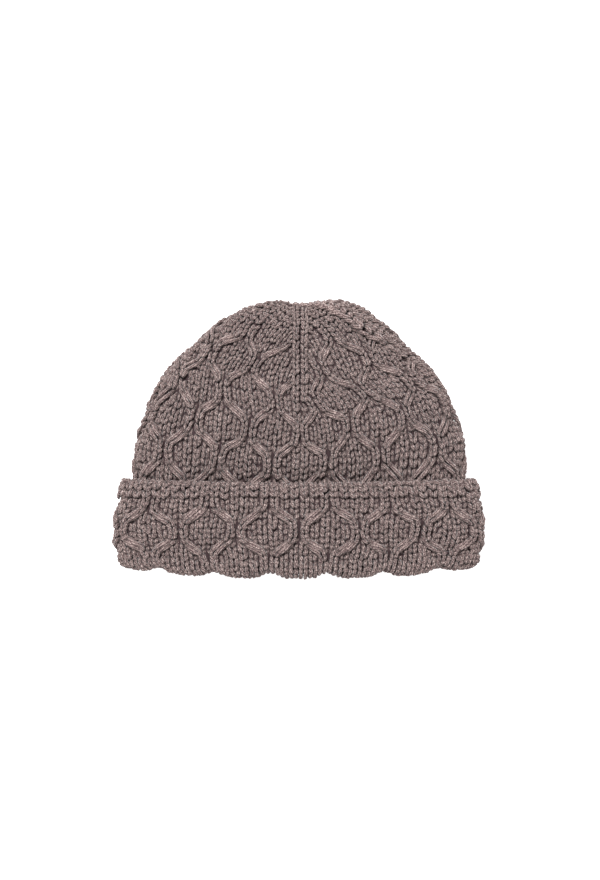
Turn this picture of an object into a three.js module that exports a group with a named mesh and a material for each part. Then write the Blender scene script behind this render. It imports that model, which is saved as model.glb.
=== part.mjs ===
// A thick knitted hat with honeycomb cables and a turned-up cuff, lying on its back on a flat surface.
// Millimetres. +X is to the right as the front is looked at, +Y runs from the mouth to the crown's top, +Z is
// up from the surface, and the origin is under the middle of the hat.
import * as THREE from 'three';

const { clamp, degToRad, euclideanModulo, lerp, smoothstep } = THREE.MathUtils;

// How the cables repeat
const CELLS_ROUND = 13; // honeycomb cells round the hat
const CELLS_PER_QUARTER = CELLS_ROUND / 4; // from the middle of the front or back to a side edge
const COLUMNS_PER_CELL = 8; // columns of faces across a cell, which is six stitches wide
const COLUMNS_PER_QUARTER = CELLS_PER_QUARTER * COLUMNS_PER_CELL;
const LINES_PER_HALF_CELL = 3; // lines of faces from one row of cells to the next
const CABLE_RELIEF = 2.2; // from the grooves to the tops of the cables
const STRAND_SWAY = 0.14; // how far a strand of the cables leaves its middle line, in cells
const SWAY_SHARPNESS = 1.8; // above 1 the strands stay apart, or together, for longer than they cross
const STRAND_WIDTH = 0.085; // of one strand's rounded top, in cells
const CELL_WIDTH = 0.36; // of the plain stitches between two strands, from their middle, in cells
const CELL_LEVEL = 0.78; // height of the plain stitches beside a strand's

// The layers of knitting
const CROWN_WALL = 4.7; // behind the grooves of the crown
const CUFF_BAND = 5; // the turned-up layer, to the tops of its cables
const LAYER_GAP = 0.3; // between the cuff and the crown that it lies on
const FOLD_THICKNESS = CUFF_BAND + LAYER_GAP + CROWN_WALL;
const FOLD_RADIUS = FOLD_THICKNESS / 2;

// The flattened tube that the cuff makes, at its outermost: each row is a slice across the hat
const CUFF_SLICES = [
  { y: -85, left: -109, right: 109, front: 38, back: 0.4 },
  { y: -75, left: -111, right: 111, front: 38.8, back: -0.4 },
  { y: -66, left: -112.8, right: 113, front: 40, back: -1.5 },
  { y: -53, left: -113.4, right: 113.8, front: 41, back: -1.9 },
  { y: -40, left: -111.2, right: 112.6, front: 41.5, back: -1.9 },
  { y: -26, left: -108.4, right: 108.6, front: 41, back: -1.5 },
];
const MOUTH_Y = -85; // the folded edge, in the middle of the front
const CUFF_TOP_Y = -26.4; // the cuff's free edge
const LEDGE_Y = -76; // where the crown's layer starts, inside the fold
const NESTED_SLICES = [-58, -42]; // where the cuff's inner face and the crown both have a ring
const MOUTH_BOW = 6; // how much less far the fold reaches at the side edges
const CUFF_TOP_BOW = 2.2; // how much higher the free edge lies there
const SCALLOP = 1.9; // depth of the dip in the fold below each full cell
const FULL_CELLS_Y = -56.3; // the row of full cells round the cuff
const CUFF_HALF_CELL = 18.9; // from there to the half cells above and below
const HOLES_Y = -36.4; // the line of holes between the cables and the edge band

// The edge band, from above the line of holes over the rounded free edge to the cuff's inner face
const EDGE_BAND = [
  { belowTop: 9, depth: 1.5 },
  { belowTop: 5.4, depth: 0 },
  { belowTop: 1.8, depth: 0.4 },
  { belowTop: 0, depth: CUFF_BAND / 2 },
  { belowTop: 1, depth: CUFF_BAND },
];
const CROWN_LEAVES_CUFF_Y = CUFF_TOP_Y - 1;

// The crown, by rows of cells counted up from the first full row above the cuff. A row's line runs from the
// left side edge over the front or back to the right side edge, and its middle lies lower than its ends.
const POLE = { x: 1.5, y: 82.2, z: 21 };
const POLE_ROW = 6.25;
const CROWN_ENDS = [
  { row: 0, leftX: -100.6, leftY: -4.6, rightX: 102.4, rightY: -0.6, sideZ: 19 },
  { row: 1, leftX: -93.8, leftY: 16.7, rightX: 93.2, rightY: 22.4, sideZ: 20 },
  { row: 2, leftX: -81.6, leftY: 40.2, rightX: 82.4, rightY: 40.6, sideZ: 21 },
  { row: 3, leftX: -66.5, leftY: 56.4, rightX: 68.2, rightY: 55.6, sideZ: 21.5 },
  { row: 4, leftX: -46.8, leftY: 72.6, rightX: 49.8, rightY: 73.2, sideZ: 21.8 },
  { row: 5, leftX: -26.8, leftY: 81.8, rightX: 32, rightY: 83.2, sideZ: 21.8 },
  { row: 5.7, leftX: -11.6, leftY: 84.8, rightX: 14.8, rightY: 84.9, sideZ: 21.4 },
  { row: POLE_ROW, leftX: POLE.x, leftY: POLE.y, rightX: POLE.x, rightY: POLE.y, sideZ: POLE.z },
];
const CROWN_MIDDLES = [
  { row: 0, frontY: -16.7, frontZ: 40, backY: -13, backZ: -1 },
  { row: 1, frontY: 2.1, frontZ: 43.8, backY: 7, backZ: -2 },
  { row: 2, frontY: 20.4, frontZ: 45.2, backY: 26, backZ: -2 },
  { row: 3, frontY: 40.3, frontZ: 43.6, backY: 44, backZ: -1.2 },
  { row: 4, frontY: 58.6, frontZ: 38.6, backY: 60, backZ: 3.4 },
  { row: 5, frontY: 73.6, frontZ: 31, backY: 73, backZ: 11.4 },
  { row: 5.7, frontY: 80.4, frontZ: 24.8, backY: 80, backZ: 17.6 },
  { row: POLE_ROW, frontY: POLE.y, frontZ: POLE.z, backY: POLE.y, backZ: POLE.z },
];
const CENTRE_X = 1; // the middle of the front and back
const CUFF_CROSSES_ROW = { middle: -0.48, side: -0.9 }; // the row of cells at which the crown leaves the cuff
const STEPS_OUT_OF_CUFF = 3; // lines of faces from there up to row 0

// The four decrease lines, down the middle of the front and back and along the side edges: how many cells
// each quarter has lost at either side by that row
const DECREASES = [
  { row: 1, lost: 0 },
  { row: 2, lost: 0.1 },
  { row: 3, lost: 0.3 },
  { row: 4, lost: 0.62 },
  { row: 5, lost: 1.05 },
  { row: POLE_ROW, lost: CELLS_PER_QUARTER / 2 },
];
const DECREASE_RIDGE = { height: 0.95, width: 0.1, startsAt: 1.2, fullAt: 2.2 };
const PLAIN_TOP = { startsAt: 4.3, fullAt: 5.1, height: 0.7 }; // plain knitting above the last cells

// The shape of a slice, between an ellipse at 2 and a box, and how the lines of knitting bow on it
const SLICE_SQUARENESS = 2.5;
const CROWN_BOW_POWER = 1.3;
const CUFF_BOW_POWER = 2.5;

const YARN_COLOUR = 0x786a67;

// Smooth curves through the named columns of a table
function tableCurves(table, station) {
  const stations = Float32Array.from(table, (entry) => entry[station]);
  const curves = {};
  for (const column of Object.keys(table[0])) {
    const values = Float32Array.from(table, (entry) => entry[column]);
    const curve = new THREE.CubicInterpolant(stations, values, 1);
    curves[column] = (at) => curve.evaluate(at)[0];
  }
  return curves;
}

const cuffSlice = tableCurves(CUFF_SLICES, 'y');
const crownEnds = tableCurves(CROWN_ENDS, 'row');
const crownMiddles = tableCurves(CROWN_MIDDLES, 'row');
const decreases = tableCurves(DECREASES, 'row');

function lostCells(row) {
  return row < DECREASES[0].row ? 0 : decreases.lost(row);
}

// How far across (-1 left to 1 right) and how far towards the front or back (0 to 1) an angle of a slice lies
function sliceShape(angle) {
  const power = 2 / SLICE_SQUARENESS;
  return {
    across: Math.sign(Math.cos(angle)) * Math.abs(Math.cos(angle)) ** power,
    through: Math.abs(Math.sin(angle)) ** power,
    onFront: Math.sin(angle) >= 0,
  };
}

// A point of the cuff's tube, some way below its outermost surface. The fold dips below each full cell.
function cuffPoint(y, depth, angle, dip) {
  const { across, through, onFront } = sliceShape(angle);
  const left = cuffSlice.left(y) + depth;
  const right = cuffSlice.right(y) - depth;
  const front = cuffSlice.front(y) - depth;
  const back = cuffSlice.back(y) + depth;
  const middleZ = (front + back) / 2;
  const mouthBow = MOUTH_BOW * smoothstep(-y, -FULL_CELLS_Y, -MOUTH_Y) * Math.abs(across) ** CUFF_BOW_POWER;
  const topBow = CUFF_TOP_BOW * smoothstep(y, HOLES_Y, CUFF_TOP_Y) * across ** 2;
  const scallop = SCALLOP * smoothstep(-y, -LEDGE_Y, -MOUTH_Y) * dip;
  return new THREE.Vector3(
    (left + right) / 2 + (right - left) / 2 * across,
    y + mouthBow + topBow + scallop,
    middleZ + ((onFront ? front : back) - middleZ) * through,
  );
}

// The line of one row of knitting over the crown, as a function of the angle round it
function crownLine(row) {
  const left = new THREE.Vector3(crownEnds.leftX(row), crownEnds.leftY(row), crownEnds.sideZ(row));
  const right = new THREE.Vector3(crownEnds.rightX(row), crownEnds.rightY(row), crownEnds.sideZ(row));
  const front = new THREE.Vector3(CENTRE_X, crownMiddles.frontY(row), crownMiddles.frontZ(row));
  const back = new THREE.Vector3(CENTRE_X, crownMiddles.backY(row), crownMiddles.backZ(row));
  const middle = left.clone().add(right).divideScalar(2);
  const reach = right.clone().sub(left).divideScalar(2);
  return (angle) => {
    const { across, through, onFront } = sliceShape(angle);
    const centre = onFront ? front : back;
    const fall = 1 - Math.abs(across) ** CROWN_BOW_POWER;
    return new THREE.Vector3(
      middle.x + reach.x * across + (centre.x - middle.x) * through,
      middle.y + reach.y * across + (centre.y - middle.y) * fall,
      middle.z + (centre.z - middle.z) * through,
    );
  };
}

// Angles that cut a quarter of a closed line into equal lengths
function evenAngles(pointAt, from, to, count) {
  const samples = 80;
  const lengths = [0];
  let last = pointAt(from);
  for (let i = 1; i <= samples; i += 1) {
    const next = pointAt(lerp(from, to, i / samples));
    lengths.push(lengths[i - 1] + next.distanceTo(last));
    last = next;
  }
  const angles = [];
  let step = 0;
  for (let i = 0; i < count; i += 1) {
    const wanted = lengths[samples] * i / count;
    while (lengths[step + 1] < wanted) step += 1;
    const share = (wanted - lengths[step]) / (lengths[step + 1] - lengths[step]);
    angles.push(lerp(from, to, (step + share) / samples));
  }
  return angles;
}

// The angle of every column, from the middle of the front round by the right, the back and the left
function columnAngles(pointAt) {
  const quarter = Math.PI / 2;
  const hair = 1e-9; // keeps the front's half and the back's half apart where they meet
  const angles = [];
  for (let side = 0; side < 4; side += 1) {
    const from = quarter * (1 - side);
    angles.push(...evenAngles(pointAt, from - hair, from - quarter + hair, COLUMNS_PER_QUARTER));
  }
  return angles;
}

// Where a column of faces lies in the pattern at a row, in cells from the middle of the front, and how far it
// lies from the middle of the front or back (0) towards a side edge (1)
function patternPlace(index, row) {
  const side = Math.floor(index / COLUMNS_PER_QUARTER);
  const share = (index % COLUMNS_PER_QUARTER) / COLUMNS_PER_QUARTER;
  const fromMiddle = side % 2 === 0 ? share : 1 - share;
  const lost = lostCells(row);
  const column = lost + fromMiddle * (CELLS_PER_QUARTER - 2 * lost);
  const onBack = side === 1 || side === 2;
  return { column: onBack ? CELLS_ROUND / 2 - column : column, fromMiddle };
}

// Distance from a column to the nearest line that repeats once a cell
function toNearest(column, line) {
  return Math.abs(euclideanModulo(column - line + 0.5, 1) - 0.5);
}

// Height of the cabled face, from 0 in a groove to 1 on a strand. The strands sway to and fro in pairs, and
// where two stand apart they hold a cell of plain stitches between them.
function cableHeight(column, row) {
  const beat = Math.cos(Math.PI * row);
  const sway = STRAND_SWAY * clamp(SWAY_SHARPNESS * beat, -1, 1);
  const toStrand = Math.min(toNearest(column, 0.25 + sway), toNearest(column, 0.75 - sway));
  const toCell = toNearest(column, beat > 0 ? 0 : 0.5);
  const strand = Math.exp(-((toStrand / STRAND_WIDTH) ** 2));
  const cell = CELL_LEVEL * Math.abs(beat) * (1 - (toCell / CELL_WIDTH) ** 2);
  return Math.max(strand, cell, 0);
}

// Height of the crown's face: cables low down, a ridge along each decrease line, plain knitting at the top
function crownHeight(column, row, fromMiddle) {
  const plain = smoothstep(row, PLAIN_TOP.startsAt, PLAIN_TOP.fullAt);
  const cables = lerp(cableHeight(column, row), PLAIN_TOP.height, plain);
  const cellsWide = CELLS_PER_QUARTER - 2 * lostCells(row);
  const toLine = Math.min(fromMiddle, 1 - fromMiddle) * cellsWide;
  const ridge = DECREASE_RIDGE.height * Math.exp(-((toLine / DECREASE_RIDGE.width) ** 2));
  return Math.max(cables, ridge * smoothstep(row, DECREASE_RIDGE.startsAt, DECREASE_RIDGE.fullAt));
}

// The surface that the hat lies on presses the stitches flat
function pressed(point) {
  point.z = Math.max(point.z, 0);
  return point;
}

// A ring of the cuff's tube, its columns where the outermost surface has them
function cuffRing(y, depthAt) {
  const angles = columnAngles((angle) => cuffPoint(y, 0, angle, 0));
  return angles.map((angle, index) => {
    const { column } = patternPlace(index, 0);
    const dip = (1 - Math.cos(2 * Math.PI * column)) / 2;
    return pressed(cuffPoint(y, depthAt(column), angle, dip));
  });
}

// Every other point, for the inner faces that carry no cables
function thinned(ring) {
  return ring.filter((_, index) => index % 2 === 0);
}

// A closed mesh from a round of rings, each joined to the next and the last to the first
function closedSkin(rings) {
  const positions = [];
  const starts = [];
  for (const ring of rings) {
    starts.push(positions.length / 3);
    for (const point of ring) positions.push(point.x, point.y, point.z);
  }
  const faces = [];
  rings.forEach((ring, r) => {
    const next = (r + 1) % rings.length;
    const steps = Math.max(ring.length, rings[next].length);
    const corner = (which, i) => {
      const count = rings[which].length;
      return starts[which] + Math.floor(i * count / steps) % count;
    };
    for (let i = 0; i < steps; i += 1) {
      const [low, lowNext] = [corner(r, i), corner(r, i + 1)];
      const [high, highNext] = [corner(next, i), corner(next, i + 1)];
      if (low !== lowNext) faces.push(low, lowNext, highNext);
      if (high !== highNext) faces.push(low, highNext, high);
    }
  });
  const geometry = new THREE.BufferGeometry();
  geometry.setAttribute('position', new THREE.Float32BufferAttribute(positions, 3));
  geometry.setIndex(faces);
  geometry.computeVertexNormals();
  return geometry;
}

// The cuff: the fold at the mouth, the cabled band, the free edge, the face on the crown, the fold's ledge
function cuffGeometry() {
  const rings = [];
  const foldCentreY = MOUTH_Y + FOLD_RADIUS;
  for (const turn of [180, 135, 90, 45, 0]) {
    const y = foldCentreY - FOLD_RADIUS * Math.sin(degToRad(turn));
    const depth = FOLD_RADIUS * (1 - Math.cos(degToRad(turn)));
    rings.push(cuffRing(y, () => depth));
  }
  for (let i = -LINES_PER_HALF_CELL; i <= LINES_PER_HALF_CELL; i += 1) {
    const row = i / LINES_PER_HALF_CELL;
    // The cuff's full cells stand over the grooves of the crown's row 0: the pattern is read half a cell on
    const depthAt = (column) => CABLE_RELIEF * (1 - cableHeight(column + 0.5, row));
    rings.push(cuffRing(FULL_CELLS_Y + CUFF_HALF_CELL * row, depthAt));
  }
  for (const { belowTop, depth } of EDGE_BAND) rings.push(cuffRing(CUFF_TOP_Y - belowTop, () => depth));
  for (const y of NESTED_SLICES.toReversed()) rings.push(cuffRing(y, () => CUFF_BAND));
  rings.push(cuffRing(LEDGE_Y, () => CUFF_BAND));
  rings.push(cuffRing(LEDGE_Y, () => FOLD_THICKNESS));
  return closedSkin(rings);
}

// The lines of faces over the crown's visible part, from the cuff's free edge to the pole
function crownLines(edgePoints) {
  const lines = [];
  const highest = Math.floor(POLE_ROW * LINES_PER_HALF_CELL) - 1;
  for (let i = 0; i <= highest; i += 1) {
    const row = i / LINES_PER_HALF_CELL;
    const pointAt = crownLine(row);
    lines.push({ row: () => row, points: columnAngles(pointAt).map(pointAt) });
  }
  // Above the cuff's straight edge the lines bow step by step, until row 0
  const edgeRow = (fromMiddle) => (
    lerp(CUFF_CROSSES_ROW.middle, CUFF_CROSSES_ROW.side, fromMiddle ** CROWN_BOW_POWER)
  );
  const leaving = [];
  for (let i = 0; i < STEPS_OUT_OF_CUFF; i += 1) {
    const share = i / STEPS_OUT_OF_CUFF;
    leaving.push({
      row: (fromMiddle) => edgeRow(fromMiddle) * (1 - share),
      points: edgePoints.map((point, index) => point.clone().lerp(lines[0].points[index], share)),
    });
  }
  const pole = new THREE.Vector3(POLE.x, POLE.y, POLE.z);
  return [...leaving, ...lines, { row: () => POLE_ROW, points: edgePoints.map(() => pole) }];
}

// The crown: from its lower end in the fold up to the pole, and back down its inside
function crownGeometry() {
  const outer = [];
  const inner = [];
  const depth = CUFF_BAND + LAYER_GAP;
  for (const y of [LEDGE_Y + LAYER_GAP, ...NESTED_SLICES, CROWN_LEAVES_CUFF_Y]) {
    outer.push(cuffRing(y, () => depth));
    inner.push(thinned(cuffRing(y, () => depth + CROWN_WALL)));
  }
  const lines = crownLines(outer.at(-1));
  const wallBehind = CROWN_WALL + CABLE_RELIEF / 2;
  for (let i = 1; i < lines.length - 1; i += 1) {
    const { points } = lines[i];
    const outerRing = [];
    const innerRing = [];
    points.forEach((point, index) => {
      const round = points.at((index + 1) % points.length).clone().sub(points.at(index - 1));
      const upward = lines[i + 1].points[index].clone().sub(lines[i - 1].points[index]);
      const outward = round.cross(upward).normalize();
      const { fromMiddle } = patternPlace(index, 0);
      const row = lines[i].row(fromMiddle);
      const { column } = patternPlace(index, row);
      const groove = CABLE_RELIEF * (1 - crownHeight(column, row, fromMiddle));
      outerRing.push(pressed(point.clone().addScaledVector(outward, -groove)));
      innerRing.push(point.clone().addScaledVector(outward, -wallBehind));
    });
    outer.push(outerRing);
    const inwardZ = (point) => point.setZ(Math.max(point.z, CROWN_WALL));
    const reachesPole = i > lines.length - 4;
    if (i % 2 === 0 && !reachesPole) inner.push(thinned(innerRing).map(inwardZ));
  }
  const pole = new THREE.Vector3(POLE.x, POLE.y, POLE.z);
  const innerPole = new THREE.Vector3(POLE.x, POLE.y - wallBehind, POLE.z);
  return closedSkin([...outer, [pole], [innerPole], ...inner.reverse()]);
}

function knitted(name, geometry) {
  const yarn = new THREE.MeshStandardMaterial({ color: YARN_COLOUR, roughness: 0.95, metalness: 0 });
  const mesh = new THREE.Mesh(geometry, yarn);
  mesh.name = name;
  return mesh;
}

const hat = new THREE.Group();
hat.add(knitted('crown', crownGeometry()));
hat.add(knitted('cuff', cuffGeometry()));

export default hat;
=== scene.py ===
"""The looks of a thick cable-knit hat with a turned-up cuff, which lies on its back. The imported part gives
its place and size, and here every stitch is modelled from two legs of yarn on the same surface. The tables
are in millimetres and the meshes in metres, in the part's frame: +X to the right as the front is looked at,
+Y from the mouth to the crown's top, +Z up."""
import math

import bpy
import numpy as np
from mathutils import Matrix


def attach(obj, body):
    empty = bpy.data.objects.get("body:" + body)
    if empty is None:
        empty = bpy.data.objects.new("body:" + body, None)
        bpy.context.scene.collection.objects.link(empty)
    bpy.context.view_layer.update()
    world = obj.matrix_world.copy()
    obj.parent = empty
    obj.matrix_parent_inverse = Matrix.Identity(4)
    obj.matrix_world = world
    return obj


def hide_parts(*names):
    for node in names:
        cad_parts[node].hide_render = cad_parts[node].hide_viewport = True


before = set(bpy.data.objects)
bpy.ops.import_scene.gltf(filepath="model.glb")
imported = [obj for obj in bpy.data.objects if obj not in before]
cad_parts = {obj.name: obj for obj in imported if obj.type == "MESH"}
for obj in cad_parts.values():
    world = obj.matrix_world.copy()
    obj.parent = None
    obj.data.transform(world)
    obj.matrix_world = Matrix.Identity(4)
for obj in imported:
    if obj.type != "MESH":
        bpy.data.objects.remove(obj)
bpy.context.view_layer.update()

# The photograph: the camera looks straight down on the hat through a long lens. Its frame is 600 by 880
# pixels, and a pixel is 0.609 mm at the height of the hat's outline.
FRAME_HEIGHT_PX = 880
PIXEL = 0.000609  # in metres, as all sizes of the camera and the studio
OUTLINE_HEIGHT = 0.02
CAMERA_DISTANCE = 2.4
FRAME_MIDDLE = (0.0009, -0.0009)
SENSOR_WIDTH_MM = 36
VIEW_END = 20

camera_data = bpy.data.cameras.new("camera")
camera_data.sensor_width = SENSOR_WIDTH_MM
camera_data.lens = SENSOR_WIDTH_MM * CAMERA_DISTANCE / (FRAME_HEIGHT_PX * PIXEL)
camera_data.clip_end = VIEW_END
camera = bpy.data.objects.new("camera", camera_data)
camera.location = (*FRAME_MIDDLE, OUTLINE_HEIGHT + CAMERA_DISTANCE)
bpy.context.scene.collection.objects.link(camera)
bpy.context.scene.camera = camera
bpy.context.scene.view_settings.view_transform = "Standard"

# The studio: a sheet of matt white paper under a soft light from above the hat's crown, with a wide and
# weaker one from below its mouth, and white walls all round.
WHITE_PAPER = "#fbfbfb"
PAPER_SIZE = 8
PAPER_GLOW = 0.75  # stands for the light under the paper, which leaves only a faint shadow
WALL_BRIGHTNESS = 0.5


def colour(hex_value):
    """A linear colour from an sRGB hex value."""
    channels = [int(hex_value[i : i + 2], 16) / 255 for i in (1, 3, 5)]
    linear = [c / 12.92 if c <= 0.04045 else ((c + 0.055) / 1.055) ** 2.4 for c in channels]
    return (*linear, 1)


def add_node(tree, kind, inputs=(), **settings):
    """Adds a node with its settings. An input takes a value, an output, or a node for its first output."""
    made = tree.nodes.new(kind)
    for name, value in settings.items():
        setattr(made, name, value)
    for socket, value in dict(inputs).items():
        source = value.outputs[0] if isinstance(value, bpy.types.Node) else value
        if isinstance(source, bpy.types.NodeSocket):
            tree.links.new(source, made.inputs[socket])
        else:
            made.inputs[socket].default_value = source
    return made


def new_material(name):
    """An empty material and its node tree."""
    made = bpy.data.materials.new(name)
    made.use_nodes = True
    made.node_tree.nodes.clear()
    return made, made.node_tree


paper, tree = new_material("matt_white_paper")
shader = add_node(tree, "ShaderNodeBsdfPrincipled", {
    "Base Color": colour(WHITE_PAPER), "Roughness": 0.9, "IOR": 1.5,
    "Emission Color": colour(WHITE_PAPER), "Emission Strength": PAPER_GLOW,
})
add_node(tree, "ShaderNodeOutputMaterial", {"Surface": shader})

bpy.ops.object.select_all(action="DESELECT")
bpy.ops.mesh.primitive_plane_add(size=PAPER_SIZE)
floor = bpy.context.object
floor.name = "floor"
floor.data.materials.append(paper)


def add_softbox(name, place, size, power):
    """A square soft light that faces the hat."""
    data = bpy.data.lights.new(name, "AREA")
    data.size = size
    data.energy = power
    light = bpy.data.objects.new(name, data)
    light.location = place
    light.rotation_mode = "QUATERNION"
    light.rotation_quaternion = light.location.to_track_quat("Z", "Y")
    bpy.context.scene.collection.objects.link(light)


add_softbox("key", place=(-0.35, 1.0, 1.9), size=0.4, power=61)
add_softbox("fill", place=(0.9, -1.4, 1.6), size=1.2, power=10)
world = bpy.data.worlds.new("white_walls")
world.use_nodes = True
world.node_tree.nodes["Background"].inputs["Color"].default_value = colour(WHITE_PAPER)
world.node_tree.nodes["Background"].inputs["Strength"].default_value = WALL_BRIGHTNESS
bpy.context.scene.world = world

# The crown: a dome of thick cashmere, knitted in the round with honeycomb cables. Thirteen cells go round
# it, each six stitches wide: two cords of one stitch sway to and fro over the four between them. Four
# decrease lines draw it in to the pole, and it runs on down inside the cuff to the fold round the mouth.
MM = 0.001
CELLS_PER_QUARTER = 3.25
FRONT_QUARTERS = (0, 3)  # they are counted from the front's middle round by the right, back and left
QUARTER_STARTS = ((0, 1), (2, -1), (2, 1), (4, -1))  # the share of a ring where each starts, and its way
SQUARENESS = 2.5  # of a slice, between an ellipse at 2 and a box
CUFF_SLICES = [
    {"y": -85, "left": -109, "right": 109, "front": 38, "back": 0.4},
    {"y": -75, "left": -111, "right": 111, "front": 38.8, "back": -0.4},
    {"y": -66, "left": -112.8, "right": 113, "front": 40, "back": -1.5},
    {"y": -53, "left": -113.4, "right": 113.8, "front": 41, "back": -1.9},
    {"y": -40, "left": -111.2, "right": 112.6, "front": 41.5, "back": -1.9},
    {"y": -26, "left": -108.4, "right": 108.6, "front": 41, "back": -1.5},
]
CROWN_ENDS = [
    {"row": 0, "left_x": -100.6, "left_y": -4.6, "right_x": 102.4, "right_y": -0.6, "side_z": 19},
    {"row": 1, "left_x": -93.8, "left_y": 16.7, "right_x": 93.2, "right_y": 22.4, "side_z": 20},
    {"row": 2, "left_x": -81.6, "left_y": 40.2, "right_x": 82.4, "right_y": 40.6, "side_z": 21},
    {"row": 3, "left_x": -66.5, "left_y": 56.4, "right_x": 68.2, "right_y": 55.6, "side_z": 21.5},
    {"row": 4, "left_x": -46.8, "left_y": 72.6, "right_x": 49.8, "right_y": 73.2, "side_z": 21.8},
    {"row": 5, "left_x": -26.8, "left_y": 81.8, "right_x": 32, "right_y": 83.2, "side_z": 21.8},
    {"row": 5.7, "left_x": -11.6, "left_y": 84.8, "right_x": 14.8, "right_y": 84.9, "side_z": 21.4},
    {"row": 6.25, "left_x": 1.5, "left_y": 82.2, "right_x": 1.5, "right_y": 82.2, "side_z": 21},
]
CROWN_MIDDLES = [
    {"row": 0, "front_y": -16.7, "front_z": 40, "back_y": -13, "back_z": -1},
    {"row": 1, "front_y": 2.1, "front_z": 43.8, "back_y": 7, "back_z": -2},
    {"row": 2, "front_y": 20.4, "front_z": 45.2, "back_y": 26, "back_z": -2},
    {"row": 3, "front_y": 40.3, "front_z": 43.6, "back_y": 44, "back_z": -1.2},
    {"row": 4, "front_y": 58.6, "front_z": 38.6, "back_y": 60, "back_z": 3.4},
    {"row": 5, "front_y": 73.6, "front_z": 31, "back_y": 73, "back_z": 11.4},
    {"row": 5.7, "front_y": 80.4, "front_z": 24.8, "back_y": 80, "back_z": 17.6},
    {"row": 6.25, "front_y": 82.2, "front_z": 21, "back_y": 82.2, "back_z": 21},
]
POLE_ROW = 6.25
CENTRE_X = 1
CROWN_BOW_POWER = 1.3
DECREASES = [
    {"row": 1, "lost": 0},
    {"row": 2, "lost": 0.1},
    {"row": 3, "lost": 0.3},
    {"row": 4, "lost": 0.62},
    {"row": 5, "lost": 1.05},
    {"row": 6.25, "lost": 1.625},
]
ROW_HEIGHT = 18.9  # from one row of cells to the next, below the crown's top
MOUTH_Y = -85  # of the folded edge, in the middle of the front
MOUTH_BOW = 6  # how much less far the fold reaches at the side edges
MOUTH_BOW_FROM_Y = -56.3
MOUTH_BOW_POWER = 2.5
BACK_HIDDEN = 3  # how much less far the back of the fold reaches, which the front hides
BACK_HIDDEN_FROM_Y = -70
SCALLOP = 3.2  # how much less far the fold reaches below each full cell
SCALLOP_FROM_Y = -76
SCALLOP_POWER = 3
CUFF_TOP_Y = -26.4  # of the cuff's free edge
TOP_BOW = 2.2  # how much higher it lies at the side edges
TOP_BOW_FROM_Y = -36.4
CROWN_LEAVES_CUFF_Y = -27.4
CUFF_THICKNESS = 5.3  # with the gap behind it
CREASE_DEPTH = 1.6  # how much deeper than this the crown goes in under the cuff's free edge
CREASE_ROWS = (-1.9, -1)  # the rows over which it gets there
EDGE_ROW = {"middle": -0.48, "side": -0.9}  # at which the crown leaves the cuff
SIDE_TURN = (-0.3, 0.3, -0.3, 0.3)  # how much wider each quarter is, as the side lines lie turned
SIDE_TURN_ROWS = (1.5, 4.2)
TWIST = (0.25, 0, 0, -0.25)  # how many cells of each quarter have turned under the middle line
TWIST_ROWS = (1.3, 2.8)
WANDER_CELLS = {"most": 0.035, "by_cell": 3.1, "by_row": 2.3, "by_quarter": 1.7}
WANDER_ROWS = {"most": 0.05, "by_cell": 4.1, "by_row": -2.6, "by_quarter": 2.9}
HIGHEST_ROW = 6.08  # of the stitches' middles
LEGS_END_ROW = 6.15  # where the tips of the highest ones end, short of the pole


def table_curve(table, station, column):
    """A smooth curve through a named column of a table, straight at its ends."""
    at = np.array([entry[station] for entry in table], float)
    value = np.array([entry[column] for entry in table], float)
    slope = np.diff(value) / np.diff(at)
    tangent = np.concatenate([slope[:1], (slope[:-1] + slope[1:]) / 2, slope[-1:]])

    def curve(x):
        x = np.clip(x, at[0], at[-1])
        i = np.clip(np.searchsorted(at, x) - 1, 0, len(at) - 2)
        step = at[i + 1] - at[i]
        t = (x - at[i]) / step
        start = (1 + 2 * t) * (1 - t) ** 2 * value[i] + t * (1 - t) ** 2 * step * tangent[i]
        end = t**2 * (3 - 2 * t) * value[i + 1] + t**2 * (t - 1) * step * tangent[i + 1]
        return start + end

    return curve


def table_curves(table, station):
    """The curves of all of a table's columns, by name."""
    return {column: table_curve(table, station, column) for column in table[0]}


cuff_slice = table_curves(CUFF_SLICES, "y")
crown_ends = table_curves(CROWN_ENDS, "row")
crown_middles = table_curves(CROWN_MIDDLES, "row")
lost_cells = table_curve(DECREASES, "row", "lost")


def smoothstep(x, low, high):
    """0 below low, 1 above high and a smooth step between them."""
    t = np.clip((x - low) / (high - low), 0, 1)
    return t * t * (3 - 2 * t)


def slice_shape(angle):
    """How far across and how far through the hat an angle of a slice lies, and whether it is in front."""
    across = np.sign(np.cos(angle)) * np.abs(np.cos(angle)) ** (2 / SQUARENESS)
    through = np.abs(np.sin(angle)) ** (2 / SQUARENESS)
    return across, through, np.sin(angle) >= 0


def cuff_point(y, depth, angle, dip):
    """A point of the cuff's tube, some way below its outermost surface, where the fold dips so much."""
    across, through, in_front = slice_shape(angle)
    left = cuff_slice["left"](y) + depth
    right = cuff_slice["right"](y) - depth
    front = cuff_slice["front"](y) - depth
    back = cuff_slice["back"](y) + depth
    middle_z = (front + back) / 2
    mouth_share = smoothstep(-y, -MOUTH_BOW_FROM_Y, -MOUTH_Y)
    mouth_bow = MOUTH_BOW * mouth_share * np.abs(across) ** MOUTH_BOW_POWER
    hidden = BACK_HIDDEN * smoothstep(-y, -BACK_HIDDEN_FROM_Y, -MOUTH_Y) * np.where(in_front, 0, through)
    top_bow = TOP_BOW * smoothstep(y, TOP_BOW_FROM_Y, CUFF_TOP_Y) * across**2
    scallop = SCALLOP * smoothstep(-y, -SCALLOP_FROM_Y, -MOUTH_Y) * dip**SCALLOP_POWER
    return np.stack([
        (left + right) / 2 + (right - left) / 2 * across,
        y + mouth_bow + top_bow + scallop + hidden,
        middle_z + (np.where(in_front, front, back) - middle_z) * through,
    ], axis=-1)


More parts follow.
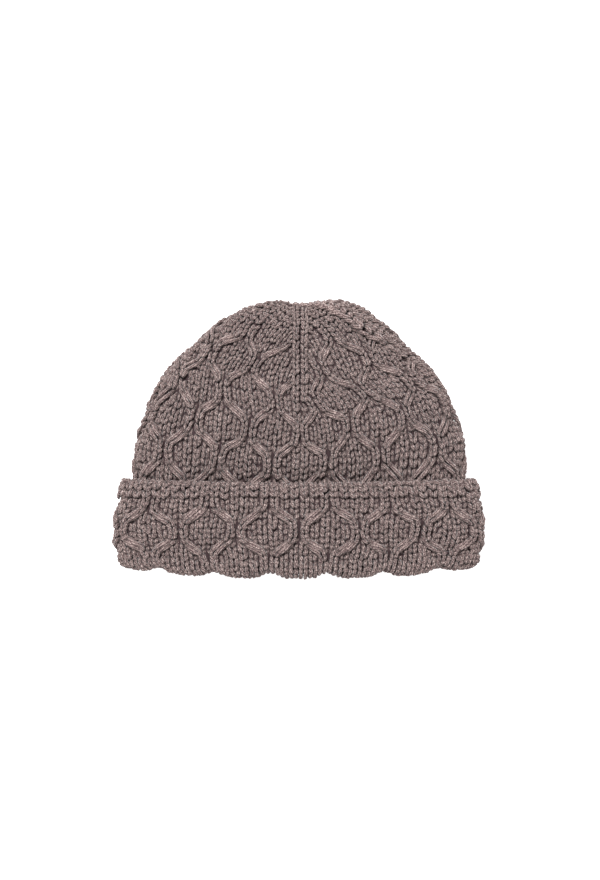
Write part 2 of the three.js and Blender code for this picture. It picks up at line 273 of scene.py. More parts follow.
def crown_point(row, angle):
    """A point on the line of one row over the crown. The line's middle lies lower than its ends."""
    across, through, in_front = slice_shape(angle)
    left_x, right_x = crown_ends["left_x"](row), crown_ends["right_x"](row)
    left_y, right_y = crown_ends["left_y"](row), crown_ends["right_y"](row)
    side_z = crown_ends["side_z"](row)
    centre_y = np.where(in_front, crown_middles["front_y"](row), crown_middles["back_y"](row))
    centre_z = np.where(in_front, crown_middles["front_z"](row), crown_middles["back_z"](row))
    middle_x, middle_y = (left_x + right_x) / 2, (left_y + right_y) / 2
    fall = 1 - np.abs(across) ** CROWN_BOW_POWER
    return np.stack([
        middle_x + (right_x - left_x) / 2 * across + (CENTRE_X - middle_x) * through,
        middle_y + (right_y - left_y) / 2 * across + (centre_y - middle_y) * fall,
        side_z + (centre_z - side_z) * through,
    ], axis=-1)


ANGLES_PER_QUARTER = 161  # at which a ring is measured


def even_angles(point_at, shares):
    """The angles of shares of a ring, 0 to 4 from the front's middle round by the right, the back and the
    left. Within each quarter they are evenly spaced along the ring."""
    angles = np.empty_like(shares)
    crowded = (1 - np.cos(np.linspace(0, math.pi, ANGLES_PER_QUARTER))) / 2  # close together at both ends
    for quarter in range(4):
        sampled = math.pi / 2 * (1 - quarter - np.clip(crowded, 1e-9, 1 - 1e-9))
        steps = np.linalg.norm(np.diff(point_at(sampled), axis=0), axis=1)
        lengths = np.concatenate([[0], np.cumsum(steps)])
        inside = (shares >= quarter) & (shares <= quarter + 1)
        angles[inside] = np.interp((shares[inside] - quarter) * lengths[-1], lengths, sampled)
    return angles


RING_POINTS = 417
SHARES = np.linspace(0, 4, RING_POINTS)


def from_middle_of(share):
    """How far a share of a ring lies from the middle of the front or back, 0, towards a side edge, 1."""
    return 1 - np.abs(share % 2 - 1)


def crown_ring(row):
    """The crown's ring at a row. Below its first full row it bends in under the cuff, and goes on down."""
    first_row = crown_point(max(row, 0), even_angles(lambda a: crown_point(max(row, 0), a), SHARES))
    if row >= 0:
        return first_row
    bow = from_middle_of(SHARES) ** CROWN_BOW_POWER
    edge_row = EDGE_ROW["middle"] + (EDGE_ROW["side"] - EDGE_ROW["middle"]) * bow
    y = CROWN_LEAVES_CUFF_Y + np.minimum(row - edge_row, 0) * ROW_HEIGHT
    angles = even_angles(lambda a: cuff_point(CROWN_LEAVES_CUFF_Y, 0, a, 0), SHARES)
    depth = CUFF_THICKNESS + CREASE_DEPTH * smoothstep(row, *CREASE_ROWS)
    under_cuff = cuff_point(y, depth, angles, 0)
    risen = np.clip(1 - row / edge_row, 0, 1)[:, None]
    return under_cuff + (first_row - under_cuff) * risen


def surface_of(rings, stations):
    """A function that gives the points and outward directions of a surface at shares of its rings and at
    stations from ring to ring."""
    grid = np.array(rings)
    opened = np.concatenate([grid[:, -2:-1], grid, grid[:, 1:2]], axis=1)
    outward = np.cross(opened[:, 2:] - opened[:, :-2], np.gradient(grid, axis=0))
    outward[np.linalg.norm(outward, axis=2) < 1e-9] = (0, 1, 0)
    outward /= np.linalg.norm(outward, axis=2, keepdims=True)

    def place(share, station):
        x = (share % 4) / 4 * (len(SHARES) - 1)
        y = np.clip((station - stations[0]) / (stations[1] - stations[0]), 0, len(stations) - 1.001)
        i, j = np.floor(x).astype(int) % (len(SHARES) - 1), np.floor(y).astype(int)
        u, v = (x - np.floor(x))[..., None], (y - j)[..., None]
        found = []
        for values in (grid, outward):
            low = values[j, i] * (1 - u) + values[j, i + 1] * u
            high = values[j + 1, i] * (1 - u) + values[j + 1, i + 1] * u
            found.append(low * (1 - v) + high * v)
        found[1] /= np.linalg.norm(found[1], axis=-1, keepdims=True)
        return found

    return place


LOWEST_ROW = -3.25  # at the fold, inside the cuff
CROWN_RINGS = 153
CROWN_STATIONS = np.linspace(LOWEST_ROW, POLE_ROW, CROWN_RINGS)
crown_surface = surface_of([crown_ring(row) for row in CROWN_STATIONS], CROWN_STATIONS)


def wander(quarter, cells, row, from_middle):
    """A place of a quarter's pattern, moved in slow waves that fade at its edges: knitting never lies quite
    even."""
    inside = np.sin(math.pi * np.clip(from_middle, 0, 1))

    def moved(wave):
        turn = wave["by_cell"] * cells + wave["by_row"] * row + wave["by_quarter"] * quarter
        return wave["most"] * inside * np.sin(turn)

    return cells + moved(WANDER_CELLS), row + moved(WANDER_ROWS)


def cells_to_lines(quarter, cells, row):
    """How many cells a place of a quarter's pattern lies from its middle line and from its side line."""
    lost = lost_cells(row)
    from_middle = cells - lost - TWIST[quarter] * smoothstep(row, *TWIST_ROWS)
    width = (CELLS_PER_QUARTER - 2 * lost) * (1 + SIDE_TURN[quarter] * smoothstep(row, *SIDE_TURN_ROWS))
    return from_middle, width - from_middle


def crown_place(quarter, cells, row):
    """The point and outward direction at a place of the crown's pattern, counted in cells from the middle of
    the front or back."""
    from_middle, from_side = cells_to_lines(quarter, cells, row)
    cells, row = wander(quarter, cells, row, from_middle / (from_middle + from_side))
    from_middle, _ = cells_to_lines(quarter, cells, row)
    start, way = QUARTER_STARTS[quarter]
    return crown_surface(start + way * from_middle / (CELLS_PER_QUARTER - 2 * lost_cells(row)), row)


# One leg of a stitch, which all the knitting is made from: a short length of soft plied yarn, fat in its
# middle and tucked in at both ends. It is modelled once, along Z, and each copy is bent along its own line.
bpy.ops.object.select_all(action="DESELECT")
bpy.ops.mesh.primitive_uv_sphere_add(segments=8, ring_count=6, radius=1)
leg = bpy.context.object

leg_points = np.array([vertex.co for vertex in leg.data.vertices])
leg_stations = np.unique(leg_points[:, 2].round(4))
leg_station_of = np.searchsorted(leg_stations, leg_points[:, 2].round(4))
leg_faces = sorted(leg.data.polygons, key=lambda face: tuple(face.vertices))  # they come in any order
leg_loops = [loop for face in leg_faces for loop in face.loop_indices]
leg_corners = np.array([leg.data.loops[loop].vertex_index for loop in leg_loops])
leg_face_sizes = np.array([face.loop_total for face in leg_faces])
leg_uvs = np.array([leg.data.uv_layers.active.data[loop].uv for loop in leg_loops])
# Where each corner lies on a leg, from its low side to its top and from its foot to its upper end: the
# material lays painted shade on the ends and flanks by it.
leg_sides = np.stack([(1 + leg_points[leg_corners, 1]) / 2, (1 + leg_points[leg_corners, 2]) / 2], axis=-1)
bpy.data.objects.remove(leg)

chance = np.random.default_rng(20)

LEAST_HEIGHT = 0.85  # of a leg's middle over the ground, in half depths: it is pressed flat there
GROUND = 0.02  # least height of its points
SPUN_LENGTH = 200  # each leg is from another place along so much yarn
STRETCHES_FROM = 6.5  # a longer leg is stretched: its plies turn no more often than in one so long


def yarn_piece(name, centres, outwards, half_widths, half_depths):
    """One mesh of many legs. Each leg has a line of centres and of outward directions along it, in
    millimetres, and a half width across the fabric and a half depth through it."""
    along = np.gradient(centres, axis=1)
    along /= np.linalg.norm(along, axis=2, keepdims=True)
    sideways = np.cross(outwards, along)
    sideways /= np.linalg.norm(sideways, axis=2, keepdims=True)
    upward = np.cross(along, sideways)
    centres[..., 2] = np.maximum(centres[..., 2], LEAST_HEIGHT * half_depths[:, None])
    points = (
        centres[:, leg_station_of]
        + sideways[:, leg_station_of] * (leg_points[:, 0] * half_widths[:, None])[..., None]
        + upward[:, leg_station_of] * (leg_points[:, 1] * half_depths[:, None])[..., None]
    )
    points[..., 2] = np.maximum(points[..., 2], GROUND)
    count = len(centres)
    corners = leg_corners + len(leg_points) * np.arange(count)[:, None]
    sizes = np.tile(leg_face_sizes, count)
    lengths = np.linalg.norm(np.diff(centres, axis=1), axis=2).sum(axis=1)
    starts = chance.uniform(0, SPUN_LENGTH, count)
    uvs = np.stack([
        np.tile(leg_uvs[:, 0], (count, 1)),
        starts[:, None] + leg_uvs[:, 1] * np.minimum(lengths, STRETCHES_FROM)[:, None],
    ], axis=-1)
    mesh = bpy.data.meshes.new(name)
    mesh.vertices.add(points.size // 3)
    mesh.vertices.foreach_set("co", (points * MM).astype(np.float32).ravel())
    mesh.loops.add(corners.size)
    mesh.loops.foreach_set("vertex_index", corners.astype(np.int32).ravel())
    mesh.polygons.add(len(sizes))
    mesh.polygons.foreach_set("loop_start", (np.cumsum(sizes) - sizes).astype(np.int32))
    mesh.uv_layers.new(name="yarn").data.foreach_set("uv", uvs.astype(np.float32).ravel())
    # The "leg" map tells the material where to paint shade on each leg's ends and flanks.
    sides = np.tile(leg_sides, (count, 1))
    mesh.uv_layers.new(name="leg").data.foreach_set("uv", sides.astype(np.float32).ravel())
    mesh.update(calc_edges=True)
    mesh.shade_smooth()
    piece = bpy.data.objects.new(name, mesh)
    bpy.context.scene.collection.objects.link(piece)
    return piece


# How the stitches lie: a stitch is a V of two legs in an upright column, its wale. Two cords of one wale
# sway to and fro, and between them stands a disc of four wales, which comes out from under the cords and
# goes back under them. Places are in cells across and rows up, and beside a wale's middle in stitches.
CROSSING_ROWS = 0.46  # of a row's height, in which a cord crosses to its other side
CORD_ROUNDNESS = 0.46  # how much of its sway is spread over the whole row
CORD_PLACE = 0.25  # of a cord's middle between the edge and the middle of its cell, in cells
CORD_SWAY = 0.165  # from there to each side
CORD_STITCH = 0.158  # width of a cord's stitch, in cells
CROSSING_STITCH = 0.14  # where it crosses over
DISC_STITCH = 0.163  # width of a disc's
EVEN_STITCH = 1 / 6  # where there are no cables
CELL_WIDTH = 34
LEAN_SCALE = CELL_WIDTH / ROW_HEIGHT
LEAN_STEP = 0.01  # in rows, over which a cord's lean is measured
CORD_HEIGHT = -1  # of the legs' middles over the fabric's outermost surface
CORD_ROUNDING = 1.6  # how much lower a cord would be one stitch beside its middle
DISC_HEIGHT = -1.7
DISC_EDGE_FALL = 0.6  # how much lower it would be one stitch beside its middle
DISC_END_FALL = 2.9  # how much lower its wales end
DISC_WALES = (-1.5, -0.5, 0.5, 1.5)  # how many stitches beside its middle they run
DISC_REACH = {0.5: 0.7, 1.5: 0.5}  # how many rows above and below its middle they end
CELLS_LAID = range(-2, 6)  # enough to cover a quarter
EVEN_HEIGHT = -1.2
COURSES_PER_ROW = 6  # courses of stitches from one row of cells to the next
CROSSING_COURSES = 3.5  # length of the stitch in which a cord crosses over, in courses
LONG_FROM = 0.4  # a leg longer than this, in rows, is a crossing one
CORDS_REACH_ON = 0.1  # rows by which a cord may go past the first and last courses
LAST_CELLS_ROW = 4  # plain knitting above it
PLAIN_ROWS = (4.1, 4.6)  # over which the cables become plain
LEG_SPREAD = 0.245  # of a leg's middle from the wale's middle
LEG_SPLAY = 0.13  # how much further out its upper end is, and its foot further in
PLAIN_SPLAY = 0.2  # in plain knitting, where the stitches are wider
LEG_WIDTH = {"short": 0.225, "long": 0.32}  # half of it
LEG_DEPTH = {"short": 1.4, "long": 1.5}
TUCK = 1.5  # how far the ends of a leg lie behind its middle
TILT = 0.75  # how much further back its upper end lies, under the foot of the next one, and its foot less
COURSE_OVERLAP = 1.3  # length of a leg in courses
DEEPEST = -4.2  # of a leg's middle line, so it stays in the fabric
WALE_SHIFT = 0.04  # at most, of a whole wale along itself, in rows
SCATTER = {"along": 0.02, "beside": 0.03, "lift": 0.22, "width": 0.1, "depth": 0.05}  # of the legs
NEAR_CELLS = 0.05  # the distance over which a cell's real width is measured


def blend(low, high, share):
    """The value so far from a low one to a high one."""
    return low + (high - low) * share


def plain_share(row):
    """How far the pattern has become plain knitting."""
    return smoothstep(row, *PLAIN_ROWS)


def sway(row):
    """To which side the cords have swayed: 1 at even rows, -1 at odd ones."""
    from_even = np.abs((row + 1) % 2 - 1)
    crossed = 1 - 2 * smoothstep(from_even, 0.5 - CROSSING_ROWS / 2, 0.5 + CROSSING_ROWS / 2)
    swung = blend(crossed, np.cos(math.pi * from_even), CORD_ROUNDNESS)
    return np.where(row > LAST_CELLS_ROW, 1, swung)


def cord_stitch(row):
    """The width of a cord's stitch."""
    return blend(blend(CROSSING_STITCH, CORD_STITCH, sway(row) ** 2), EVEN_STITCH, plain_share(row))


def cord_middle(row):
    """How far a cord's middle is from the edge of its cell."""
    return CORD_PLACE + blend(CORD_SWAY, EVEN_STITCH, plain_share(row)) * sway(row)


def cord_line(row, beside):
    """Where a line beside a cord's middle runs. Its stitches stay side by side where the cord leans."""
    lean = (cord_middle(row + LEAN_STEP) - cord_middle(row - LEAN_STEP)) / (2 * LEAN_STEP) * LEAN_SCALE
    across = beside * cord_stitch(row) / np.sqrt(1 + lean**2)
    return cord_middle(row) + across, row - across * lean * LEAN_SCALE


def mirrored_cord_line(row, beside):
    """The same for the cord on the other side of the cell."""
    cells, rows = cord_line(row, beside)
    return 1 - cells, rows


def cord_height(row, beside):
    """The height of a cord's legs: it is round."""
    return blend(CORD_HEIGHT - CORD_ROUNDING * beside**2, EVEN_HEIGHT, plain_share(row))


def disc_stitch(row):
    """The width of a disc's stitch."""
    return blend(DISC_STITCH, EVEN_STITCH, plain_share(row))


def disc_line(row, beside):
    """Where a line beside a disc's middle runs."""
    return beside * disc_stitch(row), row


def disc_height(middle_row, reach):
    """The height of a disc's legs: it is domed, and each wale goes under the cords at its ends."""

    def height(row, beside):
        away = np.where(row > LAST_CELLS_ROW, 0, np.abs(row - middle_row)) / reach
        domed = DISC_HEIGHT - DISC_EDGE_FALL * beside**2 - DISC_END_FALL * away**3
        return blend(domed, EVEN_HEIGHT, plain_share(row))

    return height


def cord_courses(rows):
    """The rows of a cord's stitches and their lengths. It crosses over in one long stitch."""
    short = 1 / (COURSES_PER_ROW + 1)
    found = []
    for whole in range(math.floor(rows[0]), LAST_CELLS_ROW + 1):
        found += [(whole + step * short, short * COURSE_OVERLAP) for step in (-2, -1, 0, 1, 2)]
        found.append((whole + 0.5, CROSSING_COURSES * short))
    bottom, top = rows[0] - CORDS_REACH_ON, min(LAST_CELLS_ROW, rows[-1] + CORDS_REACH_ON)
    found = [course for course in found if bottom <= course[0] <= top]
    found += [(row, COURSE_OVERLAP / COURSES_PER_ROW) for row in rows[rows > LAST_CELLS_ROW]]
    return np.array(found).T


def disc_courses(rows, middle_row, reach):
    """The rows of a disc's stitches and their lengths. The highest discs go on as plain knitting."""
    top = HIGHEST_ROW if middle_row == LAST_CELLS_ROW else middle_row + reach
    found = rows[(rows > middle_row - reach) & (rows < top)]
    return found, np.full(len(found), COURSE_OVERLAP / COURSES_PER_ROW)


def cable_wales(phase, rows):
    """Every wale of the cables: where it starts, its line, its height, its middle, and the rows, lengths and
    widths of its stitches. The phase is where the first cell starts."""
    wales = []
    for cell in CELLS_LAID:
        found, lengths = cord_courses(rows)
        for line in (cord_line, mirrored_cord_line):
            wales.append((cell + phase, line, cord_height, 0, found, lengths, cord_stitch(found)))
        for middle_row in range(math.floor(rows[0]), math.floor(min(rows[-1], LAST_CELLS_ROW)) + 1):
            start = cell + phase + 0.5 * (middle_row % 2)
            for middle in DISC_WALES:
                reach = DISC_REACH[abs(middle)]
                found, lengths = disc_courses(rows, middle_row, reach)
                height = disc_height(middle_row, reach)
                wales.append((start, disc_line, height, middle, found, lengths, disc_stitch(found)))
    return wales


def lay_wale(place, wale, splay):
    """The legs of the stitches along one wale: their lines of centres, outward directions, half widths and
    half depths. Place turns cells and rows into points, and splay is how far the legs of a V lean."""
    start, line, height, middle, rows, lengths, widths = wale
    t = leg_stations
    laid = []
    is_long = lengths > LONG_FROM
    splay = np.where(is_long, 0, splay)
    width = np.where(is_long, LEG_WIDTH["long"], LEG_WIDTH["short"])
    depth = np.where(is_long, LEG_DEPTH["long"], LEG_DEPTH["short"])
    shift = chance.uniform(-WALE_SHIFT, WALE_SHIFT)
    for side in (-1, 1):
        scatter = chance.normal(0, 1, (4, len(rows)))
        along = (rows + shift + SCATTER["along"] * scatter[2])[:, None] + t * lengths[:, None] / 2
        beside = middle + side * (LEG_SPREAD + splay[:, None] * t) + SCATTER["beside"] * scatter[3][:, None]
        cells, row = line(along, beside)
        points, outwards = place(start + cells, row)
        next_points, _ = place(start + cells + NEAR_CELLS, row)
        cell_width = np.linalg.norm(next_points - points, axis=2).mean(axis=1) / NEAR_CELLS
        lift = height(along, beside) - TUCK * t**2 - TILT * t + SCATTER["lift"] * scatter[0][:, None]
        centres = points + outwards * np.maximum(lift, DEEPEST)[..., None]
        half_widths = width * widths * cell_width * (1 + SCATTER["width"] * scatter[1])
        half_depths = depth * (1 + SCATTER["depth"] * scatter[2])
        laid.append((centres, outwards, half_widths, half_depths))
    return laid


def join_legs(laid):
    """All the legs of a piece in one set of arrays."""
    return [np.concatenate(part) for part in zip(*laid)]


# The rows at which the crown's courses lie: evenly spaced over the cells, then by their real height
COURSE_HEIGHT = 3.15
MEASURED_AT = 0.3  # the share of the crown's rings along which that height is measured
HEIGHT_SAMPLES = 200
cell_courses = np.arange(-COURSES_PER_ROW, LAST_CELLS_ROW * COURSES_PER_ROW + 1) / COURSES_PER_ROW
fine_rows = np.linspace(LAST_CELLS_ROW, HIGHEST_ROW, HEIGHT_SAMPLES)
front_line = crown_surface(np.full(len(fine_rows), MEASURED_AT), fine_rows)[0]
climbed = np.concatenate([[0], np.cumsum(np.linalg.norm(np.diff(front_line, axis=0), axis=1))])
top_courses = np.interp(np.arange(COURSE_HEIGHT, climbed[-1], COURSE_HEIGHT), climbed, fine_rows)
crown_courses = np.concatenate([cell_courses, top_courses])

# The decrease lines: a wale of plain stitches at each side of a line, which the other wales meet and go
# under. Four of them draw the crown in to the pole, and the right one's top stands up like a chain.
LINE_STARTS_ROW = {"middle": 2.1, "side": 1.1}
LINE_GAP = 0.006  # from the line to its own stitches
LINE_GAP_FADES = (4, 5)  # the rows over which that closes towards the pole
LINE_HEIGHT = -0.9
POLE_SINK = 1.2  # how much deeper the lines lie where they meet at the pole
POLE_SINK_ROWS = (5.2, 6)
LINE_ROOM = 0.1  # a wale nearer to a decrease line than this ends there, in cells
LINE_SINK = 1.1  # how much deeper it lies there, under the line
LINE_SINK_FADES = 0.15  # the distance from there over which it rises again, in cells
NO_LINE = 9  # a distance from a line that hasn't started, far from every stitch
SIDE_ROOM = 0.02  # how far inside its side edge a back quarter's wales end, and a front one's beyond it
CHAIN_FROM_ROW = 3.5  # of the right line
CHAIN_STITCHES = 12
CHAIN_WIDTH = 0.26
CHAIN_HEIGHT = 0.6


def line_wale(quarter, end, rows, width, level):
    """The wale of a decrease line, at the middle or the side of a quarter."""

    def line(row, beside):
        offset = LINE_GAP * (1 - smoothstep(row, *LINE_GAP_FADES)) + (0.5 + beside) * width
        from_middle, from_side = cells_to_lines(quarter, 0, row)
        return (offset - from_middle if end == "middle" else from_side - offset), row

    def height(row, beside):
        return level - POLE_SINK * smoothstep(row, *POLE_SINK_ROWS)

    lengths = np.minimum(COURSE_OVERLAP * np.gradient(rows), 2 * (LEGS_END_ROW - rows))
    return 0, line, height, 0, rows, lengths, np.full(len(rows), width)


def sinks_at_lines(quarter, height, centre_at):
    """The height of a wale, given with where its middle runs, which goes under the decrease lines."""

    def sunk(row, beside):
        from_middle, from_side = cells_to_lines(quarter, centre_at(row), row)
        from_middle = np.where(row > LINE_STARTS_ROW["middle"], from_middle, NO_LINE)
        from_side = np.where(row > LINE_STARTS_ROW["side"], from_side, NO_LINE)
        nearest = np.minimum(from_middle, from_side)
        near = 1 - smoothstep(nearest, LINE_ROOM, LINE_ROOM + LINE_SINK_FADES)
        return height(row, beside) - LINE_SINK * near

    return sunk


def side_room(quarter):
    """How far from its side edge a quarter's wales end, in cells. A cord that crosses over there is the
    front's."""
    return -SIDE_ROOM if quarter in FRONT_QUARTERS else SIDE_ROOM


def crown_quarter(quarter):
    """All the legs of a quarter of the crown, between two decrease lines."""
    laid = []

    def place(cells, row):
        return crown_place(quarter, cells, row)

    for wale in cable_wales(0 if quarter in FRONT_QUARTERS else 0.5, crown_courses):
        start, line, height, middle, rows, lengths, widths = wale
        lengths = np.minimum(lengths, 2 * (LEGS_END_ROW - rows))
        from_middle, from_side = cells_to_lines(quarter, start + line(rows, middle)[0], rows)
        in_middle = from_middle >= np.where(rows > LINE_STARTS_ROW["middle"], LINE_ROOM, 0)
        in_side = from_side > np.where(rows > LINE_STARTS_ROW["side"], LINE_ROOM, side_room(quarter))
        kept = in_middle & in_side
        sunk = sinks_at_lines(quarter, height, lambda row: start + line(row, middle)[0])
        if kept.any():
            splay = blend(LEG_SPLAY, PLAIN_SPLAY, plain_share(rows[kept]))
            wale = (start, line, sunk, middle, rows[kept], lengths[kept], widths[kept])
            laid += lay_wale(place, wale, splay)
    chain_starts = CHAIN_FROM_ROW if quarter == 0 else HIGHEST_ROW + 1
    for end, top in (("middle", HIGHEST_ROW + 1), ("side", chain_starts)):
        rows = crown_courses[(crown_courses > LINE_STARTS_ROW[end]) & (crown_courses < top)]
        laid += lay_wale(place, line_wale(quarter, end, rows, EVEN_STITCH, LINE_HEIGHT), LEG_SPLAY)
    if quarter == 0:
        rows = np.linspace(CHAIN_FROM_ROW, HIGHEST_ROW, CHAIN_STITCHES)
        laid += lay_wale(place, line_wale(quarter, "side", rows, CHAIN_WIDTH, CHAIN_HEIGHT), PLAIN_SPLAY)
    return join_legs(laid)


CROWN_PIECES = ["crown_front_right", "crown_back_right", "crown_back_left", "crown_front_left"]

# The yarn: plies of cashmere in several browns and greys, brushed soft by wear. It is dull, with a faint
# haze of fibre ends. The plies are ridges about as coarse as they look, not counted. Each leg's ends and low
# flanks are darkened with painted shade, where the next stitches shade it, which sets each stitch off from
# the next.
FIBRE_DARK = "#443439"
FIBRE_MIDDLE = "#85706d"
FIBRE_LIGHT = "#ccb8b2"
PLY_SHADOW = "#372c2a"
FIBRE_PATCHES = 1500  # to a metre
LEG_SHOWS_AT = 0.4  # along a leg from its foot: the middle of what shows between the next feet
PAINTED_SHADE_AMOUNT = 0.48  # how far its ends and flanks go towards the shadow's colour
PLIES = 6  # ridges round the yarn
PLY_PITCH_MM = 2.4  # along the yarn, from one ridge to the next

cashmere, tree = new_material("heathered_cashmere_yarn")
yarn_uv = add_node(tree, "ShaderNodeUVMap", uv_map="yarn")
parts = add_node(tree, "ShaderNodeSeparateXYZ", {"Vector": yarn_uv})
around = add_node(
    tree, "ShaderNodeMath", {0: parts.outputs["X"], 1: PLIES * 2 * math.pi}, operation="MULTIPLY"
)
twist = add_node(
    tree, "ShaderNodeMath", {0: parts.outputs["Y"], 1: 2 * math.pi / PLY_PITCH_MM, 2: around},
    operation="MULTIPLY_ADD",
)
ply = add_node(tree, "ShaderNodeMath", {0: twist}, operation="SINE")
ply_height = add_node(tree, "ShaderNodeMapRange", {"Value": ply, "From Min": -1}, clamp=True)
place_node = add_node(tree, "ShaderNodeTexCoord")
patches = add_node(tree, "ShaderNodeTexNoise", {
    "Vector": place_node.outputs["Object"], "Scale": FIBRE_PATCHES, "Detail": 2, "Roughness": 0.6,
})
strands = add_node(tree, "ShaderNodeCombineXYZ", {"X": twist, "Y": parts.outputs["Y"]})
fibres = add_node(tree, "ShaderNodeTexNoise", {
    "Vector": strands, "Scale": 1.3, "Detail": 4, "Roughness": 0.7,
})
mixed = add_node(tree, "ShaderNodeMath", {0: patches, 1: fibres}, operation="ADD")
tones = add_node(
    tree, "ShaderNodeMapRange", {"Value": mixed, "From Min": 0.86, "From Max": 1.14}, clamp=True
)
ramp = add_node(tree, "ShaderNodeValToRGB", {"Fac": tones})
ramp.color_ramp.elements[0].color = colour(FIBRE_DARK)
ramp.color_ramp.elements[1].color = colour(FIBRE_LIGHT)
ramp.color_ramp.elements.new(0.5).color = colour(FIBRE_MIDDLE)
# Painted shade: the valleys between the plies are darkened towards the shadow's colour.
valley = add_node(tree, "ShaderNodeMapRange", {
    "Value": ply, "From Min": -1, "From Max": 0.2, "To Min": 0.7, "To Max": 0,
}, clamp=True)
shaded = add_node(tree, "ShaderNodeMix", {
    "Factor": valley, "A": ramp, "B": colour(PLY_SHADOW),
}, data_type="RGBA")
leg_uv = add_node(tree, "ShaderNodeUVMap", uv_map="leg")
leg_parts = add_node(tree, "ShaderNodeSeparateXYZ", {"Vector": leg_uv})
beyond = add_node(
    tree, "ShaderNodeMath", {0: leg_parts.outputs["Y"], 1: LEG_SHOWS_AT}, operation="SUBTRACT"
)
to_end = add_node(tree, "ShaderNodeMath", {0: beyond}, operation="ABSOLUTE")
# Painted shade: a leg's colour goes towards the shadow's colour at its ends and on its low flanks.
end_shade = add_node(tree, "ShaderNodeMapRange", {
    "Value": to_end, "From Min": 0.17, "From Max": 0.36, "To Max": PAINTED_SHADE_AMOUNT,
}, clamp=True)
flank_shade = add_node(tree, "ShaderNodeMapRange", {
    "Value": leg_parts.outputs["X"], "From Min": 0.5, "From Max": 0.78, "To Min": PAINTED_SHADE_AMOUNT, "To Max": 0,
}, clamp=True)
painted_shade = add_node(tree, "ShaderNodeMath", {0: end_shade, 1: flank_shade}, operation="MAXIMUM")
yarn_colour = add_node(tree, "ShaderNodeMix", {
    "Factor": painted_shade, "A": shaded.outputs["Result"], "B": colour(PLY_SHADOW),
}, data_type="RGBA")
relief = add_node(tree, "ShaderNodeMath", {0: fibres, 1: 0.5, 2: ply_height}, operation="MULTIPLY_ADD")
bump = add_node(tree, "ShaderNodeBump", {"Height": relief, "Strength": 1, "Distance": 0.0004})
shader = add_node(tree, "ShaderNodeBsdfPrincipled", {
    "Base Color": yarn_colour.outputs["Result"], "Normal": bump, "Roughness": 0.9, "IOR": 1.5,
    "Specular IOR Level": 0.1, "Sheen Weight": 0.2, "Sheen Roughness": 0.4,
})
add_node(tree, "ShaderNodeOutputMaterial", {"Surface": shader})

for quarter, name in enumerate(CROWN_PIECES):
    piece = yarn_piece(name, *crown_quarter(quarter))
    piece.data.materials.append(cashmere)
    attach(piece, "root")
    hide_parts("crown")

# The cuff: the same knitted cashmere, turned up round the mouth, with its cables outward. Its full cells
# stand over the grooves of the crown's first row, with half cells above and below them.
FULL_CELLS_DOWN = 29.9  # of the full cells' row below the free edge
EDGE_RADIUS = 2.5  # of the free edge
BAND_GROOVE = {"disc": 0.8, "cord": 1.3}  # how much deeper the cables start below the edge band
BAND_GROOVE_ROWS = (0.84, 1.06)
CUFF_WANDER_FADES = (0.6, 1)  # rows from the full cells' middles, over which the stitches come to lie even
FOLD_RADIUS = 5
FOLD_STARTS_Y = -80
EDGE_TURNS_Y = CUFF_TOP_Y - EDGE_RADIUS
OUTER_FACE_DOWN = CUFF_TOP_Y - FOLD_STARTS_Y


def cuff_profile(down):
    """The height along the hat and the depth in its wall of a point so far down the cuff's face. Above its
    face the line turns over the free edge, and below it round the fold and up the inside."""
    if down < EDGE_RADIUS:
        turn = (EDGE_RADIUS - down) / EDGE_RADIUS
        if turn <= math.pi:
            return EDGE_TURNS_Y + EDGE_RADIUS * math.sin(turn), EDGE_RADIUS * (1 - math.cos(turn))
        return EDGE_TURNS_Y - (turn - math.pi) * EDGE_RADIUS, 2 * EDGE_RADIUS
    if down <= OUTER_FACE_DOWN:
        return CUFF_TOP_Y - down, 0
    turn = (down - OUTER_FACE_DOWN) / FOLD_RADIUS
    if turn <= math.pi:
        return FOLD_STARTS_Y - FOLD_RADIUS * math.sin(turn), FOLD_RADIUS * (1 - math.cos(turn))
    return FOLD_STARTS_Y + (turn - math.pi) * FOLD_RADIUS, 2 * FOLD_RADIUS


def cuff_ring(down):
    """The cuff's ring so far down its face."""
    y, depth = cuff_profile(down)
    angles = even_angles(lambda a: cuff_point(y, 0, a, 0), SHARES)
    cells = from_middle_of(SHARES) * CELLS_PER_QUARTER
    on_back = (SHARES > 1) & (SHARES < 3)
    dip = (1 - np.cos(2 * math.pi * (cells + 0.5 * on_back))) / 2
    return cuff_point(y, depth, angles, dip)


CUFF_STATIONS = np.arange(-10.5, 108, 0.75)  # from behind the edge band down to far inside the mouth
upside_down = surface_of([cuff_ring(down) for down in CUFF_STATIONS[::-1]], CUFF_STATIONS)


def cuff_surface(share, down):
    """The point and outward direction of the cuff at a share of its ring and so far down its face."""
    return upside_down(share, CUFF_STATIONS[0] + CUFF_STATIONS[-1] - down)


def cuff_place(quarter, cells, row):
    """The point and outward direction at a place of the cuff's pattern."""
    start, way = QUARTER_STARTS[quarter]
    return cuff_surface(start + way * cells / CELLS_PER_QUARTER, FULL_CELLS_DOWN - row * ROW_HEIGHT)


def sinks_under_band(height):
    """The height of a wale which goes down into the groove below the edge band."""
    groove = BAND_GROOVE["cord" if height == cord_height else "disc"]

    def sunk(row, beside):
        return height(row, beside) - groove * smoothstep(row, *BAND_GROOVE_ROWS)

    return sunk


